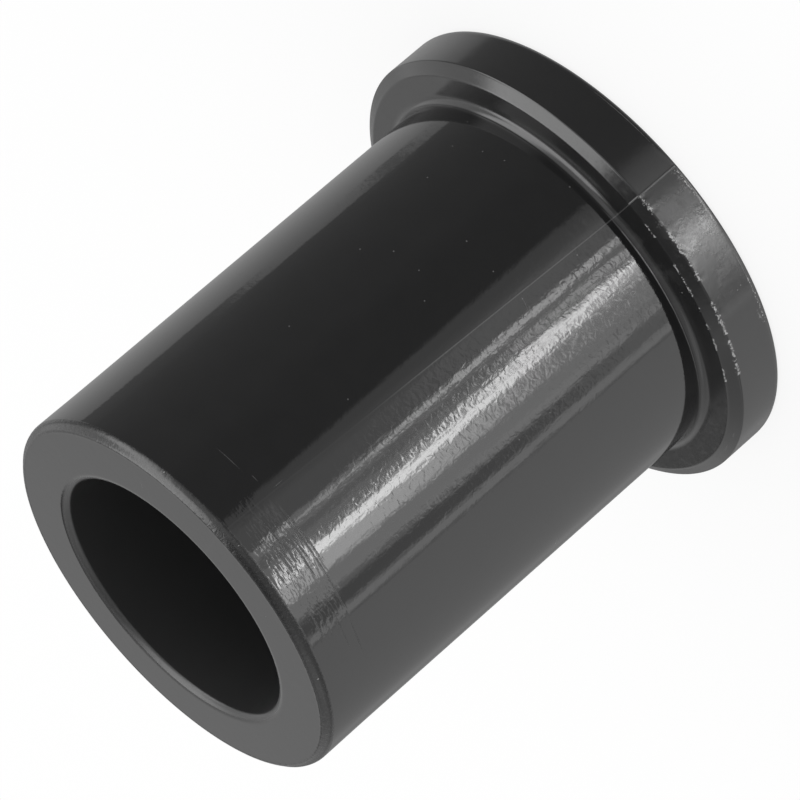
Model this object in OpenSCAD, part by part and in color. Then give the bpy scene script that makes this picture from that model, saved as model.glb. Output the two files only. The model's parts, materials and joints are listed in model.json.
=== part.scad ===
// Flanged plain bush for a steering shaft, moulded in one piece of black plastic.
// It stands on its flange: the bore runs along +Z, and the origin is the centre
// of the bore on the flange's outer face. All lengths are in millimetres.

/* [Bore and barrel] */
// Diameter of the bore that runs on the shaft
bore_d = 19.3; // [8:0.1:60]
// Thickness of the barrel's wall round the bore
wall_t = 4.55; // [2.5:0.05:12]
// Length over all, from the flange's outer face to the free end
overall_length = 40; // [20:0.5:120]

/* [Flange] */
// How far the flange stands out past the barrel
flange_overhang = 3.05; // [1.6:0.05:12]
// Thickness of the flange
flange_t = 4.3; // [3:0.1:10]

/* [Edges of the free end] */
// Radius of the round on the barrel's leading edge
lead_round_r = 0.9; // [0.8:0.05:1.2]
// How far along the barrel that round reaches
lead_round_length = 0.8; // [0.3:0.05:0.8]
// Radius of the round at the mouth of the bore
mouth_round_r = 0.7; // [0.6:0.05:1]
// How far across the end face that round reaches
mouth_round_width = 0.6; // [0.2:0.05:0.6]

/* [Edges of the flange] */
// Radius of the fillet where the barrel meets the flange
root_fillet_r = 0.45; // [0.2:0.05:0.6]
// Width of the bevel on the flange's front edge, across the face
bevel_width = 0.85; // [0.3:0.05:0.9]
// Height of that bevel, down the rim
bevel_height = 0.55; // [0.3:0.05:1]
// Radius of the round on the flange's back edge
back_round_r = 0.6; // [0.2:0.05:1]
// Size of the bevel where the bore leaves the flange
back_mouth_bevel = 0.5; // [0.2:0.05:1]

/* [Hidden] */
$fn = 180;
bore_r = bore_d / 2;
barrel_r = bore_r + wall_t;
flange_r = barrel_r + flange_overhang;
// Room that a cut takes past the surface it starts from
clear = 1;

// Every outline below is half of a lengthwise section: X is the radius, Y the height.

// What is cut away outside a round centred on the origin, towards +X and +Y
module outside_round(r) {
    difference() {
        square(r + clear);
        circle(r = r);
    }
}

// The barrel's wall, filled in to the axis, with its rounded leading edge
module barrel_outline() {
    difference() {
        square([barrel_r, overall_length]);
        translate([barrel_r - lead_round_r, overall_length - lead_round_length])
            outside_round(lead_round_r);
    }
}

// The flange, with a bevelled front edge and a rounded back edge
module flange_outline() {
    difference() {
        polygon([
            [0, 0],
            [flange_r, 0],
            [flange_r, flange_t - bevel_height],
            [flange_r - bevel_width, flange_t],
            [0, flange_t],
        ]);
        translate([flange_r - back_round_r, back_round_r])
            mirror([0, 1])
                outside_round(back_round_r);
    }
}

// The hollow corner that carries the barrel's load into the flange
module root_fillet_outline() {
    translate([barrel_r, flange_t])
        difference() {
            square(root_fillet_r);
            translate([root_fillet_r, root_fillet_r])
                circle(r = root_fillet_r);
        }
}

// What the bore takes out: a plain hole, bevelled at the flange, rounded at the free end
module bore_outline() {
    translate([0, -clear])
        square([bore_r, overall_length + 2 * clear]);
    polygon([
        [0, -clear],
        [bore_r + back_mouth_bevel + clear, -clear],
        [bore_r, back_mouth_bevel],
        [0, back_mouth_bevel],
    ]);
    translate([bore_r + mouth_round_width, overall_length - mouth_round_r])
        mirror([1, 0])
            outside_round(mouth_round_r);
}

module bushing_section() {
    difference() {
        union() {
            barrel_outline();
            flange_outline();
            root_fillet_outline();
        }
        bore_outline();
    }
}

module bushing() {
    color([0.11, 0.11, 0.115])
        rotate_extrude()
            bushing_section();
}

bushing();
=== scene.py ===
"""Looks of a flanged plain bush for a steering shaft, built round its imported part.

The bush stands on its flange: the bore runs along +Z and the origin is the centre
of the bore on the flange's outer face. Blender works in metres, and so do the
properties; the sizes of edges and marks below are in millimetres.

A place on the bush is given by its turn, its radius and its height. The turn is in
degrees round the bore, from the side that faces -Y, and it grows towards +X.
"""

import json
import math
from collections import namedtuple

import bmesh
import bpy
from mathutils import Matrix, Vector, noise


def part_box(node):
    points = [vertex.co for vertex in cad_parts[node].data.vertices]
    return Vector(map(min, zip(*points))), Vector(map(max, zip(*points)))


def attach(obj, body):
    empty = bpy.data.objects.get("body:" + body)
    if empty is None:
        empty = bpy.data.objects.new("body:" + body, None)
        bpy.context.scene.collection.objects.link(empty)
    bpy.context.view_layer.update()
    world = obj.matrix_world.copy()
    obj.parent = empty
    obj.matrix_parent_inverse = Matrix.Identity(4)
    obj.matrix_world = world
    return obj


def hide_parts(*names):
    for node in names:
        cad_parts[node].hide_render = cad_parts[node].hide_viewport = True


bl_info = {
    "name": "Flanged steering shaft bush",
    "version": (1, 0, 0),
    "blender": (4, 5, 0),
    "location": "3D View > Sidebar > Bush",
    "description": "Builds a moulded black bush, its studio and its camera",
    "category": "Object",
}

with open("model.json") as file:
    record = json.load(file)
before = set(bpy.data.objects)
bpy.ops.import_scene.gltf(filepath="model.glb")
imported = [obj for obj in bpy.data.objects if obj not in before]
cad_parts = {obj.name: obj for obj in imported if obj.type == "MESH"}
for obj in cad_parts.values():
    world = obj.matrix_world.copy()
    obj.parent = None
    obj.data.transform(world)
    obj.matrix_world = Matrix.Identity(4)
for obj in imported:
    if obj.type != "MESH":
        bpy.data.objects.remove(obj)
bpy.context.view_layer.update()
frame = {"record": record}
BUSH_LOW, BUSH_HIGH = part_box("bushing")
MOUNTS = {mount["name"]: mount for mount in frame["record"]["mounts"]}
MM = 0.001

# Edges of the section, in millimetres, as the part has them, but for the fillet: its
# highlight is as wide as that of a radius 0.15 mm larger
BACK_ROUND = 0.6
BACK_MOUTH_BEVEL = 0.5
FRONT_BEVEL_WIDTH = 0.85
FRONT_BEVEL_HEIGHT = 0.55
ROOT_FILLET = 0.6
LEAD_ROUND = 0.9
LEAD_REACH = 0.8
MOUTH_ROUND = 0.7
MOUTH_REACH = 0.6
# The tools' own edges are not quite sharp
CRISP_EDGE = 0.08
# A row this far from a rounded edge keeps the flat beside it flat in the shading
GUARD = 0.12

# The turning, from +X round by +Y: a wedge's sweep in degrees, its columns, and how
# many of it there are. The columns are closest along the seam, next on the near side.
STRETCHES = (
    (22, 22, 4),
    (4, 40, 1),
    (20.75, 21, 4),
    (15.5, 29, 6),
    (4, 40, 1),
    (22, 33, 4),
)

# The mould's halves met along a line that drifts this far round by the free end
SEAM_DRIFT = 4.6
SEAM_FOOT = 4.3
SEAM_RUN = 35.7
SEAM_HEIGHT = 0.010
SEAM_HEIGHT_ON_BARREL = 0.001
SEAM_HALF_WIDTH = 0.10
# The barrel opens out by this much over the last few millimetres
FLARE = 0.03
FLARE_LENGTH = 5.5

# Scratches that run round the barrel where a housing's edge has rubbed it
Ring = namedtuple("Ring", "height start stop")
RINGS = (
    Ring(38.6, -19, -9),
    Ring(38.2, -37, -24),
    Ring(37.75, -20, -3),
    Ring(37.45, -17, -5),
    Ring(37.2, -14, 3),
    Ring(36.8, -46, -27),
    Ring(36.6, -24, -9),
    Ring(36.3, -19, -5),
    Ring(36.0, -50, -33),
    Ring(35.85, -37, 4),
    Ring(35.6, -22, 0),
)
RING_WIDTH = 0.08
RING_DEPTH = 0.008
FLAKE_HEIGHT = 0.06

# Marks that use has left. A mark is an oval, and its sizes are in millimetres round
# the bore, up along it and out from it. Its lean is in degrees, up from level.
Mark = namedtuple("Mark", "turn radius height round up out lean", defaults=(0.6, 0))
BARREL = 14.2
RIM = 17.25


def dots(radius, size, *places):
    """Small round marks, each at a turn and a height."""
    return [Mark(turn, radius, height, size, size) for turn, height in places]


# Edges where burrs and flakes stand, out to a reach in millimetres from the edge, and
# from turn to turn in degrees
Edge = namedtuple("Edge", "radius height reach spans")
FLAKED_EDGES = (
    Edge(17.22, 3.70, 0.18, (
        (-50.0, -46.4), (-45.6, -42.9), (-42.7, -39.6), (-37.9, -35.4), (-35.2, -32.0),
        (-31.6, -28.8), (-23.0, -20.6), (-19.2, -18.0), (-16.4, -13.4), (-12.9, -9.8),
        (-4.8, -3.0), (-2.6, -0.1),
    )),
    Edge(16.4, 4.3, 0.13, (
        (-52.2, -48.0), (-42.1, -38.5), (-35.7, -34.1), (-30.3, -29.3), (-26.2, -22.9),
        (-22.6, -20.7), (-19.9, -16.9), (-9.6, -8.0), (-7.5, -6.9), (-6.5, -5.7),
    )),
    Edge(17.18, 0.5, 0.12, ((-42.2, -39.0), (-38.6, -30.0), (-15.5, -9.5), (-8.0, -0.4))),
)
FLAKED_FROM = -60
# Chips of pale plastic by themselves
FLAKES = (
    Mark(-25.4, 15.32, 4.3, 0.13, 0.6, 0.34),
    Mark(-44.8, 14.02, 39.7, 0.1, 0.5, 0.5, 20),
    *dots(14.05, 0.2, (-0.9, 39.5), (27, 39.5)),
)
# Places where the skin is bruised, and mottled by it
SCUFFS = (
    Mark(-7.6, 17.2, 3.72, 0.7, 0.8, 0.6),
    Mark(-13.6, RIM, 1.2, 2.6, 1.8),
    Mark(-15.6, RIM, 2.7, 1.9, 2.0),
    Mark(-3.5, RIM, 0.6, 2.2, 0.7),
    Mark(-40.6, RIM, 0.75, 1.6, 0.3, 0.6, 8),
)
# Thin pale lines and dull spots, where it is only rubbed
RUBS = (
    Mark(-29, 17.22, 0.5, 5.2, 0.09, 2),
    Mark(16, 17.22, 0.5, 8, 0.09, 2),
    Mark(-80, 16.8, 4.05, 1.2, 0.12, 0.12),
    Mark(-73, 16.9, 4.0, 1.0, 0.12, 0.12),
    Mark(18, BARREL, 35.87, 2.9, 0.06),
    Mark(9.7, BARREL, 35.59, 0.8, 0.06),
    Mark(4.6, BARREL, 34.66, 0.06, 1),
    Mark(-2, BARREL, 13.5, 1.5, 0.05, 0.6, -17),
    Mark(-74, BARREL, 18.3, 0.9, 0.25),
    Mark(-23.2, 12.0, 40, 0.1, 0.6, 0.5),
    Mark(35.3, 11.65, 40, 0.08, 0.6, 0.9),
    Mark(-69.2, 14.02, 39.7, 0.08, 0.5, 0.5, 30),
)
SPECKS = (
    *dots(
        BARREL, 0.15,
        (-28.8, 19.3), (-28.8, 16.4), (-1.1, 8.4), (-0.4, 13.4), (16, 18.5), (23.5, 17.1),
        (21, 13.3), (10, 13.6), (40.4, 18.3), (44.5, 11), (38.8, 7.2), (31.9, 6.9),
        (47.6, 7.9), (51.3, 5.6), (13.9, 5.4), (32.7, 17.1), (9.4, 27.2), (36, 25.9),
    ),
    *dots(RIM, 0.16, (-30.8, 1.57), (-30.4, 1.2)),
    Mark(-18.9, BARREL, 6.7, 0.07, 0.45, 0.6, 25),
    Mark(-18.3, BARREL, 6.7, 0.07, 0.45, 0.6, -25),
)
# Where handling has left the skin more wrinkled
WORN = (
    Mark(-17, BARREL, 20, 12, 46, 8),
    Mark(-16, BARREL, 37.4, 16, 4.6, 8),
    Mark(-17, RIM, 1.9, 13, 6, 3),
)


class BushSizes(bpy.types.PropertyGroup):
    """Main sizes of the bush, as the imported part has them"""

    bore_diameter: bpy.props.FloatProperty(
        name="Bore diameter",
        description="Diameter of the bore that runs on the shaft",
        default=2 * MOUNTS["shaft_bore"]["dims"]["r_mm"] * MM,
        min=0.008,
        unit="LENGTH",
    )
    barrel_diameter: bpy.props.FloatProperty(
        name="Barrel diameter",
        description="Outside diameter of the barrel that is pressed into the housing",
        default=2 * MOUNTS["housing_seat"]["dims"]["r_mm"] * MM,
        min=0.012,
        unit="LENGTH",
    )
    flange_diameter: bpy.props.FloatProperty(
        name="Flange diameter",
        description="Outside diameter of the flange",
        default=2 * BUSH_HIGH.x,
        min=0.016,
        unit="LENGTH",
    )
    flange_thickness: bpy.props.FloatProperty(
        name="Flange thickness",
        description="From the flange's outer face to its front face",
        default=MOUNTS["flange_front"]["pos_m"][2],
        min=0.002,
        unit="LENGTH",
    )
    overall_length: bpy.props.FloatProperty(
        name="Overall length",
        description="From the flange's outer face to the free end",
        default=BUSH_HIGH.z - BUSH_LOW.z,
        min=0.02,
        unit="LENGTH",
    )


class BushFinish(bpy.types.PropertyGroup):
    """Colour and gloss of the moulded plastic"""

    plastic: bpy.props.FloatVectorProperty(
        name="Plastic",
        description="Colour of the plastic itself",
        subtype="COLOR",
        size=4,
        min=0,
        max=1,
        default=(0.0068, 0.0068, 0.0070, 1),
    )
    # The pale of scuffs, chips, rubs and dust; the same colour also paints light on the front
    # face, fill light in the bore and a highlight along the seam
    scuffs_and_painted_light: bpy.props.FloatVectorProperty(
        name="Scuffed plastic",
        description="Colour where the skin is rubbed through",
        subtype="COLOR",
        size=4,
        min=0,
        max=1,
        default=(0.38, 0.38, 0.38, 1),
    )
    roughness: bpy.props.FloatProperty(
        name="Roughness",
        description="Roughness of the skin where the mould left it smooth",
        subtype="FACTOR",
        default=0.05,
        min=0,
        max=1,
    )


class BushStudio(bpy.types.PropertyGroup):
    """The camera's place and the floor"""

    camera_distance: bpy.props.FloatProperty(
        name="Camera distance",
        description="From the camera to the bore's axis, along the floor",
        default=0.395604,
        unit="LENGTH",
    )
    camera_height: bpy.props.FloatProperty(
        name="Camera height",
        description="Height of the camera above the floor",
        default=0.188896,
        unit="LENGTH",
    )
    camera_tilt: bpy.props.FloatProperty(
        name="Camera tilt",
        description="How far the camera looks down from level",
        default=math.radians(23.3079),
        subtype="ANGLE",
        unit="ROTATION",
    )
    camera_roll: bpy.props.FloatProperty(
        name="Camera roll",
        description="How far the camera is rolled, which lays the bush on its side",
        default=math.radians(-130.7734),
        subtype="ANGLE",
        unit="ROTATION",
    )
    camera_pan: bpy.props.FloatProperty(
        name="Camera pan",
        description="How far the camera looks past the bore's axis",
        default=math.radians(-0.0168),
        subtype="ANGLE",
        unit="ROTATION",
    )
    lens: bpy.props.FloatProperty(
        name="Lens",
        description="Focal length in millimetres, on a 36 mm sensor",
        default=292.27,
        min=20,
    )
    floor: bpy.props.FloatVectorProperty(
        name="Floor",
        description="Colour of the floor",
        subtype="COLOR",
        size=4,
        min=0,
        max=1,
        default=(0.98, 0.98, 0.98, 1),
    )
    floor_radius: bpy.props.FloatProperty(
        name="Floor radius",
        description="Radius of the round floor",
        default=3,
        unit="LENGTH",
    )


def smooth_rise(value, start, stop):
    """0 before start, 1 after stop, and an easy slope between them."""
    share = min(max((value - start) / (stop - start), 0), 1)
    return share * share * (3 - 2 * share)


def hump(distance, half_width):
    """1 on a line and 0 from half_width on, with a round top."""
    share = abs(distance) / half_width
    return (1 - share * share) ** 2 if share < 1 else 0


class SectionPen:
    """Draws half of the lengthwise section as a chain of edges, in millimetres."""

    def __init__(self, mesh, radius, height):
        self.mesh = mesh
        self.tip = mesh.verts.new((radius, 0, height))

    def step(self, radius, height):
        """One edge on to a point."""
        grown = bmesh.ops.extrude_vert_indiv(self.mesh, verts=[self.tip])
        self.tip = grown["verts"][0]
        move = Vector((radius, 0, height)) - self.tip.co
        bmesh.ops.translate(self.mesh, vec=move, verts=[self.tip])

    def line(self, radius, height, pieces=1):
        """A straight run of edges, with a guard row close to each end."""
        start = self.tip.co.copy()
        run = Vector((radius, 0, height)) - start
        margin = min(GUARD / run.length, 0.3)
        shares = [margin + (1 - 2 * margin) * n / pieces for n in range(pieces + 1)]
        for share in (*shares, 1):
            point = start + run * share
            self.step(point.x, point.z)
        return self.tip

    def arc(self, radius, height, sweep, pieces):
        """An arc round a centre, counter-clockwise in degrees."""
        turned = bmesh.ops.spin(
            self.mesh,
            geom=[self.tip],
            cent=(radius, 0, height),
            axis=(0, -1, 0),
            angle=math.radians(sweep),
            steps=pieces,
        )
        self.tip = turned["geom_last"][0]
        return self.tip


def barrel_rows(low, high):
    """Heights of the rows on the barrel: close at each ring scratch, easy elsewhere."""
    rows = [low + 1.6 * n for n in range(1, int((high - low) / 1.6))]
    for ring in RINGS:
        rows = [row for row in rows if abs(row - ring.height) > 2 * RING_WIDTH]
        rows += [ring.height + RING_WIDTH * share for share in (-1.6, -0.8, 0, 0.8, 1.6)]
    rows.sort()
    return [row for row, after in zip(rows, rows[1:] + [high]) if after - row > 0.015]


def draw_section(mesh, sizes):
    """Draws the half section, from the flange's outer face round to the bore's mouth."""
    bore = sizes.bore_diameter / 2 / MM
    barrel = sizes.barrel_diameter / 2 / MM
    flange = sizes.flange_diameter / 2 / MM
    thick = sizes.flange_thickness / MM
    length = sizes.overall_length / MM

    pen = SectionPen(mesh, bore + BACK_MOUTH_BEVEL, 0)
    first = pen.tip
    crisp = [first]
    pen.line(flange - BACK_ROUND, 0, 6)
    pen.arc(flange - BACK_ROUND, BACK_ROUND, 90, 8)
    crisp.append(pen.line(flange, thick - FRONT_BEVEL_HEIGHT, 9))
    crisp.append(pen.line(flange - FRONT_BEVEL_WIDTH, thick, 3))
    pen.line(barrel + ROOT_FILLET, thick, 4)
    pen.arc(barrel + ROOT_FILLET, thick + ROOT_FILLET, -90, 7)

    root = thick + ROOT_FILLET + GUARD
    lead = length - LEAD_REACH - GUARD
    pen.step(barrel, root)
    for row in barrel_rows(root, lead):
        pen.step(barrel, row)
    pen.step(barrel, lead)
    pen.step(barrel, length - LEAD_REACH)

    lead_sweep = math.degrees(math.asin(LEAD_REACH / LEAD_ROUND))
    crisp.append(pen.arc(barrel - LEAD_ROUND, length - LEAD_REACH, lead_sweep, 8))
    pen.line(bore + MOUTH_REACH, length, 7)
    mouth_sweep = math.degrees(math.asin(MOUTH_REACH / MOUTH_ROUND))
    crisp.append(pen.arc(bore + MOUTH_REACH, length - MOUTH_ROUND, mouth_sweep, 7))
    crisp.append(pen.line(bore, BACK_MOUTH_BEVEL, 12))
    pen.step(bore + BACK_MOUTH_BEVEL / 2, BACK_MOUTH_BEVEL / 2)
    mesh.edges.new((pen.tip, first))

    bmesh.ops.bevel(
        mesh,
        geom=crisp,
        offset=CRISP_EDGE,
        offset_type="OFFSET",
        segments=3,
        profile=0.5,
        affect="VERTICES",
        material=-1,
    )


def turn_wedge(sizes, start, sweep, columns):
    """One wedge of the bush: the section, turned from start degrees past +X."""
    wedge = bmesh.new()
    draw_section(wedge, sizes)
    aside = Matrix.Rotation(math.radians(start), 3, "Z")
    bmesh.ops.rotate(wedge, cent=(0, 0, 0), matrix=aside, verts=wedge.verts)
    bmesh.ops.spin(
        wedge,
        geom=wedge.verts[:] + wedge.edges[:],
        cent=(0, 0, 0),
        axis=(0, 0, 1),
        angle=math.radians(sweep),
        steps=columns,
    )
    data = bpy.data.meshes.new("wedge")
    wedge.to_mesh(data)
    wedge.free()
    return data


def turn_section(sizes):
    """The whole ring, joined from small wedges because a long spin is slow."""
    ring = bmesh.new()
    start = 0
    for sweep, columns, wedges in STRETCHES:
        for _ in range(wedges):
            data = turn_wedge(sizes, start, sweep, columns)
            ring.from_mesh(data)
            bpy.data.meshes.remove(data)
            start += sweep
    bmesh.ops.remove_doubles(ring, verts=ring.verts, dist=0.002)
    bmesh.ops.recalc_face_normals(ring, faces=ring.faces)
    return ring


def turn_of(point):
    """Degrees round the bore from the side that faces -Y."""
    return math.degrees(math.atan2(point.x, -point.y))


def seam_turn(height, near):
    """Where the seam runs at a height, on the near side or the far side."""
    drift = SEAM_DRIFT * (height - SEAM_FOOT) / SEAM_RUN
    return max(drift, 0) if near else -max(drift, 0)


def follow_seam(mesh):
    """Leans the columns with height, so that the close ones stay along the seam."""
    for vert in mesh.verts:
        turn = math.radians(turn_of(vert.co))
        lean = math.radians(seam_turn(vert.co.z, True)) * math.cos(turn)
        vert.co.rotate(Matrix.Rotation(lean, 3, "Z"))


def seam_relief(turn, radius, height):
    """Height of the mould's seam over the skin."""
    near = abs(turn) < 90
    middle = seam_turn(height, near)
    away = turn - middle if near else abs(turn) - 180 + middle * math.copysign(1, turn)
    tall = SEAM_HEIGHT if height < SEAM_FOOT + 0.1 else SEAM_HEIGHT_ON_BARREL
    return tall * hump(math.radians(away) * radius, SEAM_HALF_WIDTH)


def ring_relief(turn, height):
    """Depth of the scratches round the barrel, as a fall below the skin."""
    depth = 0
    for ring in RINGS:
        across = hump(height - ring.height, RING_WIDTH)
        if across and ring.start < turn < ring.stop:
            ends = min(turn - ring.start, ring.stop - turn)
            depth += RING_DEPTH * across * smooth_rise(ends, 0, 3)
    return -depth


def chip_relief(point, turn, radius):
    """Ragged nicks and burrs where the edges have flaked."""
    for edge in FLAKED_EDGES:
        away = math.hypot(radius - edge.radius, point.z - edge.height) / edge.reach
        if away < 1 and any(start < turn < stop for start, stop in edge.spans):
            return FLAKE_HEIGHT * (1 - away) * noise.noise(point * 4)
    return 0


def skin_relief(point, sizes):
    """How far the skin stands off the plain section at a point, in millimetres."""
    turn = turn_of(point)
    radius = math.hypot(point.x, point.y)
    height = point.z
    barrel = sizes.barrel_diameter / 2 / MM
    length = sizes.overall_length / MM
    relief = 0
    if radius > barrel - 0.05 and height < length - 0.4 and height > 0.3:
        relief += seam_relief(turn, radius, height)
    if abs(radius - barrel) < 0.2 and height > length - 8:
        relief += FLARE * smooth_rise(height, length - FLARE_LENGTH, length)
        relief += ring_relief(turn, height)
    elif turn < 0 and height < SEAM_FOOT + 0.2:
        relief += chip_relief(point, turn, radius)
    return relief


def shape_bushing(sizes):
    """The bush's mesh, in metres, with what the mould and use have left on it."""
    mesh = turn_section(sizes)
    follow_seam(mesh)
    mesh.normal_update()
    moves = [vert.normal * skin_relief(vert.co, sizes) for vert in mesh.verts]
    for vert, move in zip(mesh.verts, moves):
        vert.co += move
    for face in mesh.faces:
        face.smooth = True
    bmesh.ops.scale(mesh, vec=(MM, MM, MM), verts=mesh.verts)
    data = bpy.data.meshes.new("bushing_skin")
    mesh.to_mesh(data)
    mesh.free()
    return data


class Signal:
    """A number that a node gives. Sums on it add the Math nodes that work them out."""

    def __init__(self, nodes, socket):
        self.nodes = nodes
        self.socket = socket

    def __add__(self, other):
        return self.nodes.maths("ADD", self, other)

    __radd__ = __add__

    def __sub__(self, other):
        return self.nodes.maths("SUBTRACT", self, other)

    def __rsub__(self, other):
        return self.nodes.maths("SUBTRACT", other, self)

    def __mul__(self, other):
        return self.nodes.maths("MULTIPLY", self, other)

    __rmul__ = __mul__

    def __truediv__(self, other):
        return self.nodes.maths("DIVIDE", self, other)

    def __abs__(self):
        return self.nodes.maths("ABSOLUTE", self)


class NodeMaker:
    """Adds nodes to one node tree."""

    def __init__(self, tree):
        self.tree = tree
        tree.nodes.clear()

    def add(self, kind, settings=None, sockets=None, output=0):
        """Adds a node, sets it up, feeds its sockets and gives back one output."""
        node = self.tree.nodes.new(kind)
        for name, value in (settings or {}).items():
            if name == "stops":
                self.set_stops(node.color_ramp, value)
            else:
                setattr(node, name, value)
        for name, value in (sockets or {}).items():
            if isinstance(value, Signal):
                self.tree.links.new(value.socket, node.inputs[name])
            else:
                node.inputs[name].default_value = value
        return Signal(self, node.outputs[output]) if node.outputs else node

    def set_stops(self, ramp, stops):
        """Gives a black ramp its steps, each a place from 0 to 1 and a brightness."""
        ramp.interpolation = "CONSTANT"
        ramp.elements.remove(ramp.elements[1])
        for place, brightness in stops:
            ramp.elements.new(place).color = (brightness, brightness, brightness, 1)

    def maths(self, operation, *values):
        """A Math node on one to three numbers."""
        numbers = dict(enumerate(values))
        return self.add("ShaderNodeMath", {"operation": operation}, numbers)

    def rise(self, value, start, stop):
        """0 before start, 1 after stop, and an easy slope between them."""
        sockets = {"Value": value, "From Min": start, "From Max": stop}
        return self.add("ShaderNodeMapRange", {"interpolation_type": "SMOOTHSTEP"}, sockets)

    def band(self, value, low, high, soft):
        """1 between low and high, falling to 0 over soft outside them."""
        return self.rise(value, low - soft, low) * (1 - self.rise(value, high, high + soft))

    def grain(self, vector, scale, detail=2, roughness=0.5, distortion=0):
        """A noise between 0 and 1, with scale waves to a millimetre."""
        sockets = {
            "Vector": vector,
            "Scale": scale,
            "Detail": detail,
            "Roughness": roughness,
            "Distortion": distortion,
        }
        return self.add("ShaderNodeTexNoise", {"normalize": True}, sockets)

    def mix_colours(self, share, first, second):
        """Goes from the first colour to the second as share goes from 0 to 1."""
        sockets = {"Factor": share, "A": first, "B": second}
        return self.add("ShaderNodeMix", {"data_type": "RGBA"}, sockets, "Result")


class SkinPlace:
    """Where a point of the skin is, in millimetres and degrees, for the material."""

    def __init__(self, nodes):
        spot = nodes.add("ShaderNodeTexCoord", output="Object")
        scale = {0: spot, "Scale": 1 / MM}
        self.point = nodes.add("ShaderNodeVectorMath", {"operation": "SCALE"}, scale)
        axes = [nodes.add("ShaderNodeSeparateXYZ", None, {0: self.point}, n) for n in range(3)]
        self.height = axes[2]
        back = 0 - axes[1]
        self.turn = nodes.maths("ARCTAN2", axes[0], back) * math.degrees(1)
        self.radius = nodes.maths("SQRT", axes[0] * axes[0] + axes[1] * axes[1])
        self.nodes = nodes

    def stretched(self, share):
        """The point with its height scaled, for a grain that is drawn out."""
        scale = {0: self.point, 1: (1, 1, share)}
        return self.nodes.add("ShaderNodeVectorMath", {"operation": "MULTIPLY"}, scale)


def inside_marks(nodes, place, marks):
    """1 in the middle of a mark, 0 on its rim, and below 0 away from all of them."""
    nearest = 9
    for mark in marks:
        turn = math.radians(mark.turn)
        middle = (mark.radius * math.sin(turn), -mark.radius * math.cos(turn), mark.height)
        oval = {
            "Vector": place.point,
            "Location": middle,
            "Rotation": (0, -math.radians(mark.lean), turn),
            "Scale": (mark.round / 2, mark.out / 2, mark.up / 2),
        }
        moved = nodes.add("ShaderNodeMapping", {"vector_type": "TEXTURE"}, oval)
        away = nodes.add("ShaderNodeVectorMath", {"operation": "LENGTH"}, {0: moved}, "Value")
        nearest = nodes.maths("MINIMUM", nearest, away)
    return 1 - nearest


def near_flaked_edges(nodes, place, ragged):
    """1 on a flaked edge, 0 at its reach, and below 0 elsewhere."""
    nearest = -9
    for edge in FLAKED_EDGES:
        aside = (place.radius - edge.radius) / edge.reach
        above = (place.height - edge.height) / edge.reach
        away = nodes.maths("SQRT", aside * aside + above * above)
        stops = []
        for start, stop in edge.spans:
            stops.append((1 - start / FLAKED_FROM, 1))
            stops.append((1 - stop / FLAKED_FROM, 0))
        along = {0: 1 - (place.turn + 2 * ragged) / FLAKED_FROM}
        inside = nodes.add("ShaderNodeValToRGB", {"stops": stops}, along)
        nearest = nodes.maths("MAXIMUM", nearest, 4 * inside - 3 - away)
    return nearest


def ring_marks():
    """The scratches round the barrel, as marks for the material."""
    marks = []
    for ring in RINGS:
        middle = (ring.start + ring.stop) / 2
        run = BARREL * math.radians(ring.stop - ring.start)
        marks.append(Mark(middle, BARREL, ring.height, run, 0.2, 6))
    return marks


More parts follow.
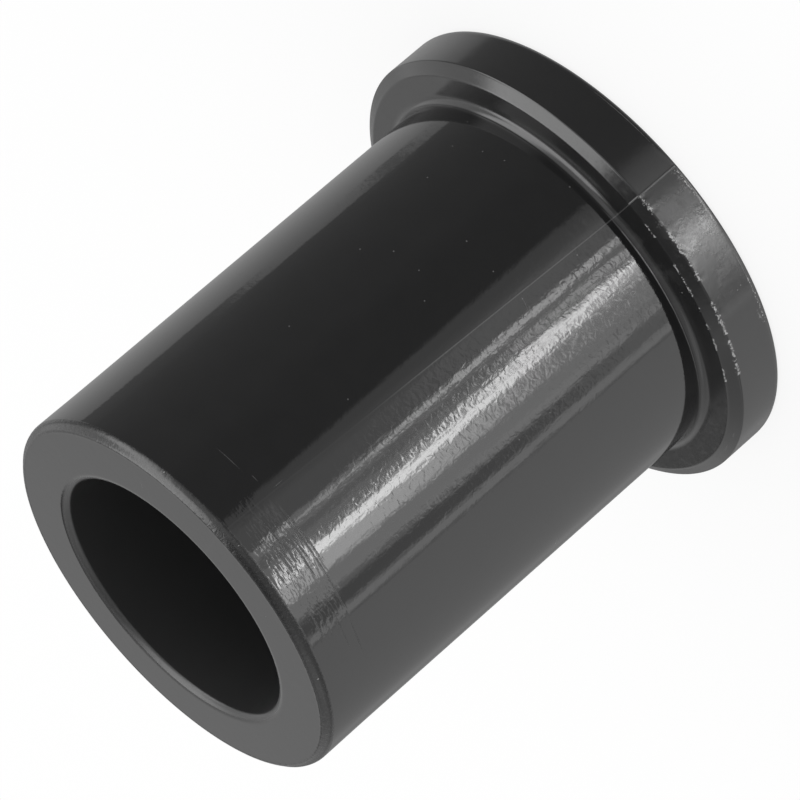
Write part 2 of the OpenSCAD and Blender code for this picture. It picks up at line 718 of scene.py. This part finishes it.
def moulded_plastic(finish):
    """Near-black plastic with a glossy moulded skin."""
    material = bpy.data.materials.new("moulded_black_plastic")
    material.use_nodes = True
    nodes = NodeMaker(material.node_tree)
    place = SkinPlace(nodes)

    # Faces with a finish of their own, and two with painted light: the front face is made
    # lighter, and so is the bore, as painted fill light in its shade
    flange = 1 - nodes.rise(place.height, 4.5, 4.9)
    front = nodes.rise(place.height, 4.2, 4.28) * flange
    bore = 1 - nodes.rise(place.radius, 9.9, 10.25)
    lead = nodes.rise(place.height, 39.2, 39.35) * nodes.rise(place.radius, 13.5, 13.8)

    # What use has left. Noise makes the outlines ragged.
    ragged = nodes.grain(place.point, 7, detail=3, roughness=0.7) - 0.5
    cloudy = nodes.grain(place.point, 2.2, detail=3, roughness=0.7) - 0.5
    worn = nodes.rise(inside_marks(nodes, place, WORN), 0, 0.5)
    chips = inside_marks(nodes, place, FLAKES)
    chips = nodes.maths("MAXIMUM", chips, near_flaked_edges(nodes, place, ragged))
    flakes = nodes.rise(chips + 5 * ragged, 0.6, 0.9)
    scuffs = inside_marks(nodes, place, SCUFFS) + 3 * ragged + 4 * cloudy
    scuffs = nodes.rise(scuffs, 0.4, 1.6)
    rubs = nodes.rise(inside_marks(nodes, place, RUBS) + 1.2 * ragged, 0.1, 0.7)
    specks = nodes.rise(inside_marks(nodes, place, SPECKS) + 0.8 * ragged, 0.2, 0.5)
    rings = nodes.rise(inside_marks(nodes, place, ring_marks()) + 2 * ragged, 0.3, 0.6)
    # The seam's line, painted pale below as a highlight along its ridge, fading out up the
    # barrel
    drift = SEAM_DRIFT / SEAM_RUN * nodes.maths("MAXIMUM", place.height - SEAM_FOOT, 0)
    aside = abs(place.turn - drift) * place.radius * math.radians(1)
    fading = 1 - 0.9 * nodes.rise(place.height, 20, 28)
    seam = (1 - nodes.rise(aside, 0.02, 0.06)) * fading

    # Fine wrinkles of the skin, stronger in patches, and a slow unevenness. Where the
    # free end has been pushed in and out, scratches too fine to count run round it.
    wrinkles = nodes.grain(place.point, 2.6, detail=1, distortion=0.6)
    patches = nodes.grain(place.point, 0.22, detail=2)
    ripple = nodes.grain(place.point, 0.9, detail=1)
    fine = nodes.grain(place.point, 9, detail=2)
    drawn = nodes.grain(place.stretched(0.2), 2.6, detail=1)
    combed = nodes.grain(place.stretched(2.7), 1.7, detail=1)
    pushed = nodes.rise(place.height, 35.3, 35.8) * worn
    strength = 0.3 + 0.5 * nodes.rise(patches, 0.4, 0.65) + 1.0 * worn + 7 * lead
    relief = 0.0030 * MM * wrinkles * strength + 0.0020 * MM * ripple
    relief = relief + 0.0004 * MM * fine + 0.0038 * MM * drawn * (0.3 + worn)
    relief = relief + 0.0150 * MM * combed * pushed + 0.0030 * MM * cloudy * pushed
    relief = relief + 0.0030 * MM * cloudy * (worn * (0.2 + 4.8 * flange) + 3 * lead)
    bump = {"Strength": 1, "Distance": 1, "Height": relief}
    skin = nodes.add("ShaderNodeBump", None, bump, "Normal")

    rubbed = nodes.grain(place.point, 1.4, detail=4)
    roughness = finish.roughness + 0.05 * nodes.rise(rubbed, 0.55, 0.8)
    roughness = roughness + 0.10 * flange + 0.30 * bore + 0.21 * lead + 0.02 * worn
    roughness = roughness + 0.05 * flange * nodes.rise(cloudy, 0, 0.15)
    roughness = roughness + 0.01 * worn * (1 - nodes.rise(place.height, 10, 28))
    roughness = nodes.maths("MINIMUM", roughness + 0.3 * rubs + 0.4 * (flakes + rings), 0.7)
    tone = nodes.grain(place.point, 0.5, detail=3)
    clouds = nodes.rise(tone + 0.4 * cloudy, 0.46, 0.68)
    dark = tuple(0.8 * part for part in finish.plastic[:3]) + (1,)
    light = tuple(1.2 * part for part in finish.plastic[:3]) + (1,)
    colour = nodes.mix_colours(tone, dark, light)
    # Painted light in the colour: the front face and the bore are lifted, the bore as fill
    # light in its shade, and the seam's line is painted pale as the highlight its ridge
    # catches. The rest is the pale of chips, scuffs, rubs, dust and random mottle.
    pale = 0.016 * front + 0.040 * bore + 0.006 * flange + 0.12 * seam
    pale = pale + 0.04 * lead * nodes.rise(ragged, 0.03, 0.15)
    pale = pale + 0.08 * clouds * flange * worn
    pale = pale + 0.15 * rubs + 0.24 * specks + 0.40 * scuffs + flakes
    pale = nodes.maths("MINIMUM", pale, 1)
    colour = nodes.mix_colours(pale, colour, tuple(finish.scuffs_and_painted_light))
    shader = nodes.add(
        "ShaderNodeBsdfPrincipled",
        None,
        {"Base Color": colour, "Roughness": roughness, "Normal": skin, "IOR": 1.5},
    )
    nodes.add("ShaderNodeOutputMaterial", None, {"Surface": shader})
    return material


class BUSH_OT_place_camera(bpy.types.Operator):
    """Places the camera that looks at the bush from the -Y side"""

    bl_idname = "bush.place_camera"
    bl_label = "Place the camera"
    bl_options = {"REGISTER", "UNDO"}

    def execute(self, context):
        studio = context.scene.bush_studio
        data = bpy.data.cameras.new("studio_camera")
        data.sensor_width = 36
        data.lens = studio.lens
        data.clip_start = 0.01
        data.clip_end = 20
        camera = bpy.data.objects.new("studio_camera", data)
        pan = Matrix.Rotation(studio.camera_pan, 4, "Z")
        tilt = Matrix.Rotation(math.radians(90) - studio.camera_tilt, 4, "X")
        roll = Matrix.Rotation(studio.camera_roll, 4, "Z")
        spot = Matrix.Translation((0, -studio.camera_distance, studio.camera_height))
        camera.matrix_world = spot @ pan @ tilt @ roll
        context.scene.collection.objects.link(camera)
        context.scene.camera = camera
        return {"FINISHED"}


class BUSH_OT_mould_bushing(bpy.types.Operator):
    """Builds the bush itself and its plastic"""

    bl_idname = "bush.mould_bushing"
    bl_label = "Mould the bush"
    bl_options = {"REGISTER", "UNDO"}

    def execute(self, context):
        data = shape_bushing(context.scene.bush_sizes)
        data.materials.append(moulded_plastic(context.scene.bush_finish))
        bushing = bpy.data.objects.new("moulded_bushing", data)
        context.scene.collection.objects.link(bushing)
        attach(bushing, "root")
        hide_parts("bushing")
        return {"FINISHED"}


# The studio as the bush mirrors it: a pale room with lamps and dark cards in it.
# Directions are in degrees: azimuth from the -Y side towards +X, and elevation over
# the horizon. A side of a panel may lean, in degrees of azimuth for each degree up.
Panel = namedtuple(
    "Panel",
    "brightness left right low high soft_left soft_right soft_low soft_high"
    " lean_left lean_right",
    defaults=(2, 2, 2, 2, 0, 0),
)
# Where the sides of a leaning panel stand as given
LEAN_LEVEL = -24
BOTTOM = -95
TOP = 95
ROOM_BRIGHTNESS = 0.76
PANELS = (
    # Over the horizon: a dim ceiling, and a large soft lamp on the +X side
    Panel(0.30, -200, 200, 66, TOP, soft_low=12),
    Panel(0.45, -200, -171, 30, 62, 6, 6, 4, 6),
    Panel(0.16, -200, -165, 24, 28, 6, 8, 1.5, 3),
    Panel(0.85, -115, -62, 2, 55, 20, 15, 6, 15),
    Panel(1.25, 90, 146, 8, 45, 10, 8, 8, 6),
    Panel(1.25, -114, -86, 27, 52, 8, 8, 5, 5),
    Panel(4.4, 32, 90, -2, 78, 13, 14, 5, 4),
    Panel(4.4, 50, 160, 50, 79, 20, 12, 6, 4),
    Panel(1.4, 8, 44, -2, 46, 14, 24, 5, 10),
    # Below the horizon, from the far left round to the far right
    Panel(0.29, -200, 200, BOTTOM, -10, soft_high=24),
    Panel(0.46, -152, -62, BOTTOM, -8, 14, 2, 2, 6),
    Panel(1.70, -62, -6, BOTTOM, -8, 92, 2, 2, 6),
    Panel(1.3, -71.4, -71.0, BOTTOM, -8, 0.5, 0.5, 2, 6),
    Panel(2.5, -69.2, -65.8, BOTTOM, -8, 1.0, 0.8, 2, 6, 0, -0.3),
    Panel(1.7, -64.4, -57.5, BOTTOM, -8, 0.8, 2.6, 2, 6),
    Panel(0.95, -63.5, -57.5, -23.9, -8, 1.2, 2.6, 1.0, 6),
    Panel(2.9, -51.5, -6, BOTTOM, -8, 2.5, 2, 2, 6),
    Panel(3.3, -54.5, -51.5, BOTTOM, -23.6, 1.6, 1.6, 2, 0.8),
    Panel(4.2, -41.3, -31, -24.3, -8, 3.0, 2, 0.3, 6),
    Panel(6.7, -40.3, -31, -23.7, -8, 3.0, 2, 0.4, 6),
    Panel(2.4, -44, -32, BOTTOM, -25.0, 3, 3, 2, 0.4),
    Panel(19.8, -26.3, -24.6, BOTTOM, -24.9, 1.2, 1.0, 2, 0.3),
    Panel(16.4, -30.4, -23.0, -24.9, -23.9, 1.3, 1.4, 0.3, 0.4),
    Panel(16.0, -31.8, -29.2, -23.9, -8, 1.3, 1.4, 0.4, 6, -0.2, 0.55),
    Panel(6.5, -27.2, -26.2, -22.6, -8, 1.6, 2.5, 0.6, 6),
    Panel(2.4, -20.9, -6, BOTTOM, -8, 1.6, 2, 2, 6, -2.5, 0),
    Panel(7.4, -19.8, -16.6, BOTTOM, -24.9, 1.0, 1.4, 2, 0.6),
    Panel(1.8, -18.4, -15.0, -24.0, -8, 1.2, 1.0, 0.5, 6),
    Panel(7.6, -11.3, -9.3, BOTTOM, -8, 1.2, 0.9, 2, 6, 0, -1),
    Panel(5.0, -11.3, -9.3, -23.0, -8, 1.2, 0.9, 0.8, 6, 0, -1),
    Panel(0.85, -7.0, 13.5, BOTTOM, -8, 1.6, 3.5, 2, 6, 0, -0.75),
    Panel(1.22, -7.0, 1, BOTTOM, -8, 1.6, 10, 2, 6),
    Panel(1.75, -7.0, 1, BOTTOM, -24.0, 1.6, 5, 2, 1.0),
    Panel(0.29, 17.0, 115, BOTTOM, -6, 3.5, 0.8, 2, 6, -0.75, 0),
    Panel(0.34, 60, 115, BOTTOM, -6, 20, 0.8, 2, 6),
    Panel(0.72, 115.8, 128, BOTTOM, -6, 0.5, 60, 2, 6),
    Panel(0.36, 112, 123.0, -22.8, -12, 1, 1.0, 0.2, 6),
    Panel(0.38, 112, 126.5, -24.75, -24.45, 1, 1.5, 0.1, 0.1),
    # What only the rim is low enough to mirror
    Panel(1.35, -66, -60, BOTTOM, -25.9, 3, 3, 2, 0.25),
    Panel(1.9, -56, -6, BOTTOM, -25.9, 8, 2, 2, 0.25),
    Panel(3.6, -46, -25, BOTTOM, -25.9, 2, 4, 2, 0.25),
    Panel(7.0, -34.5, -27.5, BOTTOM, -25.9, 2, 2, 2, 0.25),
    Panel(2.1, -15, -11, BOTTOM, -25.9, 2, 2, 2, 0.25),
    Panel(1.3, -7, 3, BOTTOM, -25.9, 2, 16, 2, 0.25),
    Panel(0.33, 16, 115, BOTTOM, -25.9, 5, 4, 2, 0.25),
)


def mirrored_room(nodes):
    """Brightness of the room and its panels in the direction of a ray."""
    way = nodes.add("ShaderNodeTexCoord", output="Generated")
    x, y, z = (nodes.add("ShaderNodeSeparateXYZ", None, {0: way}, n) for n in range(3))
    azimuth = nodes.maths("ARCTAN2", x, 0 - y) * math.degrees(1)
    elevation = nodes.maths("ARCSINE", z) * math.degrees(1)
    lean = elevation - LEAN_LEVEL
    brightness = ROOM_BRIGHTNESS
    for panel in PANELS:
        left = azimuth - lean * panel.lean_left if panel.lean_left else azimuth
        right = azimuth - lean * panel.lean_right if panel.lean_right else azimuth
        inside = nodes.rise(left, panel.left - panel.soft_left, panel.left)
        inside *= 1 - nodes.rise(right, panel.right, panel.right + panel.soft_right)
        if panel.low > BOTTOM:
            inside *= nodes.rise(elevation, panel.low - panel.soft_low, panel.low)
        if panel.high < TOP:
            inside *= 1 - nodes.rise(elevation, panel.high, panel.high + panel.soft_high)
        brightness = brightness + inside * (panel.brightness - brightness)
    return brightness


def light_room(scene):
    """Plain white light from all round; what is glossy mirrors the room's panels."""
    world = bpy.data.worlds.new("studio_room")
    world.use_nodes = True
    # Rays find the panels by themselves, so that only what is glossy meets them
    world.cycles.sampling_method = "NONE"
    scene.world = world
    nodes = NodeMaker(world.node_tree)
    white = (1, 1, 1, 1)
    plain = nodes.add("ShaderNodeBackground", None, {"Color": white, "Strength": 1})
    panels = {"Color": white, "Strength": mirrored_room(nodes)}
    mirrored = nodes.add("ShaderNodeBackground", None, panels)
    glossy = nodes.add("ShaderNodeLightPath", output="Is Glossy Ray")
    mixed = nodes.add("ShaderNodeMixShader", None, {0: glossy, 1: plain, 2: mirrored})
    nodes.add("ShaderNodeOutputWorld", None, {"Surface": mixed})


def floor_finish(studio):
    """A pale matt floor that the camera sees nearly white, with a soft shadow."""
    material = bpy.data.materials.new("pale_floor")
    material.use_nodes = True
    nodes = NodeMaker(material.node_tree)
    matt = nodes.add("ShaderNodeBsdfDiffuse", None, {"Color": studio.floor})
    white = nodes.add("ShaderNodeEmission", None, {"Color": (1, 1, 1, 1), "Strength": 1})
    rays = ("Is Camera Ray", "Is Glossy Ray", "Is Transmission Ray")
    camera, glossy, through = (nodes.add("ShaderNodeLightPath", output=ray) for ray in rays)
    seen = nodes.maths("MINIMUM", camera + glossy + through, 1) * 0.85
    mixed = nodes.add("ShaderNodeMixShader", None, {0: seen, 1: matt, 2: white})
    nodes.add("ShaderNodeOutputMaterial", None, {"Surface": mixed})
    return material


class BUSH_OT_set_stage(bpy.types.Operator):
    """Lays the pale floor and lights the room"""

    bl_idname = "bush.set_stage"
    bl_label = "Set the stage"
    bl_options = {"REGISTER", "UNDO"}

    def execute(self, context):
        studio = context.scene.bush_studio
        disc = bmesh.new()
        bmesh.ops.create_circle(disc, cap_ends=True, segments=96, radius=studio.floor_radius)
        bmesh.ops.translate(disc, vec=(0, 0, -0.01 * MM), verts=disc.verts)
        data = bpy.data.meshes.new("floor")
        disc.to_mesh(data)
        disc.free()
        data.materials.append(floor_finish(studio))
        floor = bpy.data.objects.new("floor", data)
        # The barrel mirrors the room below it, as a bush that lies on its side does
        floor.visible_glossy = False
        context.scene.collection.objects.link(floor)
        light_room(context.scene)
        context.scene.view_settings.view_transform = "Standard"
        return {"FINISHED"}


class VIEW3D_PT_bush(bpy.types.Panel):
    """The bush's sizes, finish and studio, with a button for each step"""

    bl_idname = "VIEW3D_PT_bush"
    bl_label = "Steering shaft bush"
    bl_space_type = "VIEW_3D"
    bl_region_type = "UI"
    bl_category = "Bush"

    def draw(self, context):
        layout = self.layout
        for name in GROUPS:
            column = layout.column()
            group = getattr(context.scene, name)
            for field in group.__annotations__:
                column.prop(group, field)
        for step in STEPS:
            layout.operator(step.bl_idname)


GROUPS = {"bush_sizes": BushSizes, "bush_finish": BushFinish, "bush_studio": BushStudio}
STEPS = (BUSH_OT_place_camera, BUSH_OT_mould_bushing, BUSH_OT_set_stage)
CLASSES = (*GROUPS.values(), *STEPS, VIEW3D_PT_bush)


def register():
    for each in CLASSES:
        bpy.utils.register_class(each)
    for name, group in GROUPS.items():
        setattr(bpy.types.Scene, name, bpy.props.PointerProperty(type=group))


def unregister():
    for name in GROUPS:
        delattr(bpy.types.Scene, name)
    for each in reversed(CLASSES):
        bpy.utils.unregister_class(each)


def main():
    register()
    bpy.ops.bush.place_camera()
    bpy.ops.bush.mould_bushing()
    bpy.ops.bush.set_stage()


if __name__ == "__main__":
    main()
